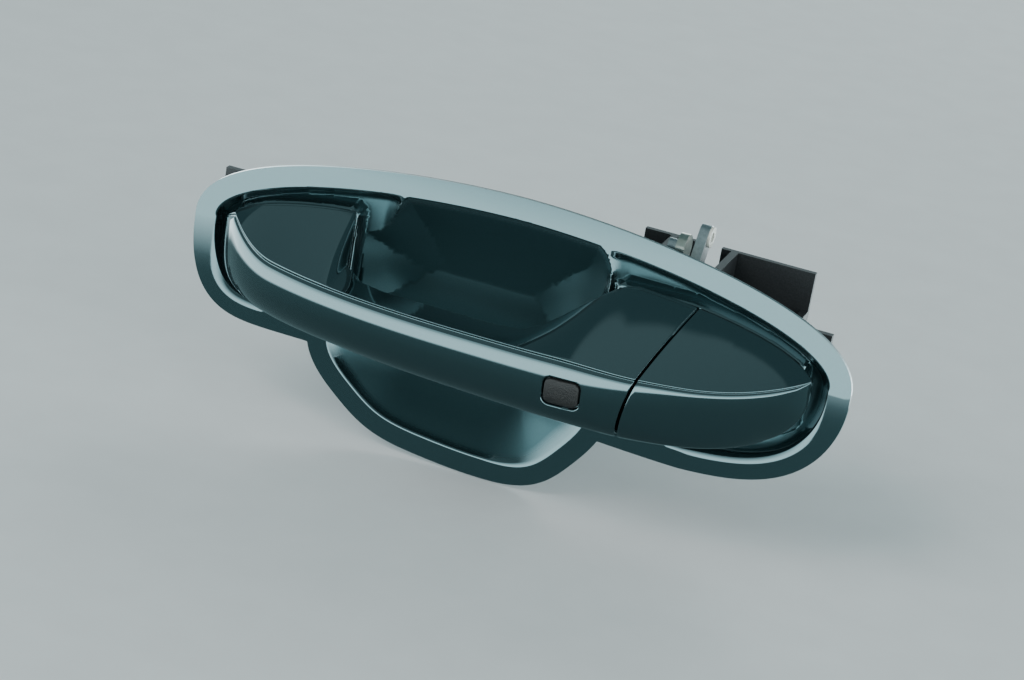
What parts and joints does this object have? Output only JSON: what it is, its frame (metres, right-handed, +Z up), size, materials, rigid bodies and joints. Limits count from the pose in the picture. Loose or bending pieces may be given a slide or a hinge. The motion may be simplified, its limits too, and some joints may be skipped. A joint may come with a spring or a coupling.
{
  "type": "car door handle",
  "caption": "Pull-type outer car door handle with recess cup, hinged grip, request button, fixed end cap over a key cylinder, base frame and bell crank.",
  "frame": {"origin": "on the door skin plane, at the middle of the recess outline along X and at the height of the styling crease", "axes": "+X towards the rear of the car, along the handle; +Y into the door; +Z up"},
  "size_m": [0.2789, 0.1008, 0.1207],
  "materials": {
    "body_paint": "gloss clear-coated dark green-grey car paint",
    "gasket_rubber": "matt black EPDM",
    "button_rubber": "finely textured black",
    "black_nylon": "moulded glass-filled nylon",
    "white_nylon": "natural nylon",
    "zinc_steel": "zinc plated",
    "spring_steel": "oiled spring steel",
    "die_cast_zinc": "die cast, as cast",
    "lock_brass": "machined",
    "copper_wire": "enamelled winding",
    "ferrite": "sintered",
    "board_laminate": "solder-masked laminate"
  },
  "bodies": {
    "base": {"recess_panel": "body_paint", "front_gasket": "gasket_rubber", "rear_gasket": "gasket_rubber", "base_frame": "black_nylon", "base_screws": "zinc_steel", "pivot_pin": "zinc_steel", "pivot_pin_clip": "zinc_steel", "crank_pin": "zinc_steel", "crank_pin_clip": "zinc_steel", "return_spring": "spring_steel", "stop_buffer": "gasket_rubber", "lock_housing": "die_cast_zinc", "retaining_screw": "zinc_steel", "wire_connector": "black_nylon", "contact_pins": "lock_brass"},
    "grip": {"grip_cover": "body_paint", "grip_back": "body_paint", "grip_core": "black_nylon", "cover_screws": "zinc_steel", "switch_housing": "black_nylon", "circuit_board": "board_laminate", "antenna_core": "ferrite", "antenna_winding": "copper_wire"},
    "button": {"request_button": "button_rubber"},
    "crank": {"bell_crank": "die_cast_zinc", "crank_weight": "zinc_steel", "rod_bush": "white_nylon"},
    "cap": {"end_cap": "body_paint", "cap_carrier": "black_nylon"},
    "key": {"key_plug": "lock_brass", "dust_shutter": "spring_steel", "plug_tail": "zinc_steel", "tail_circlip": "spring_steel"}
  },
  "joints": [
    {"name": "grip_swing", "type": "hinge", "parent": "base", "child": "grip", "pos_m": [-0.116, 0.016, 0], "axis": [0, 0, -1], "range_deg": [0, 8], "stiffness_Nm_per_rad": 8, "springref_deg": -6.88},
    {"name": "crank_turn", "type": "hinge", "parent": "base", "child": "crank", "pos_m": [0.06, 0.0213, 0.022], "axis": [-1, 0, 0], "range_deg": [0, 60.7]},
    {"name": "button_press", "type": "slide", "parent": "grip", "child": "button", "axis": [0, 1, 0], "range_m": [0, 0.0012], "stiffness_N_per_m": 1500, "springref_m": -0.0005},
    {"name": "cap_removal", "type": "slide", "parent": "base", "child": "cap", "axis": [0, -1, 0], "range_m": [0, 0.04]},
    {"name": "key_turn", "type": "hinge", "parent": "base", "child": "key", "pos_m": [0.09, 0, -0.009], "axis": [0, 1, 0], "range_deg": [-75, 75], "stiffness_Nm_per_rad": 0.05}
  ],
  "couplings": [
    {"joint": "crank_turn", "follows": "grip_swing", "ratio": 7.575}
  ]
}
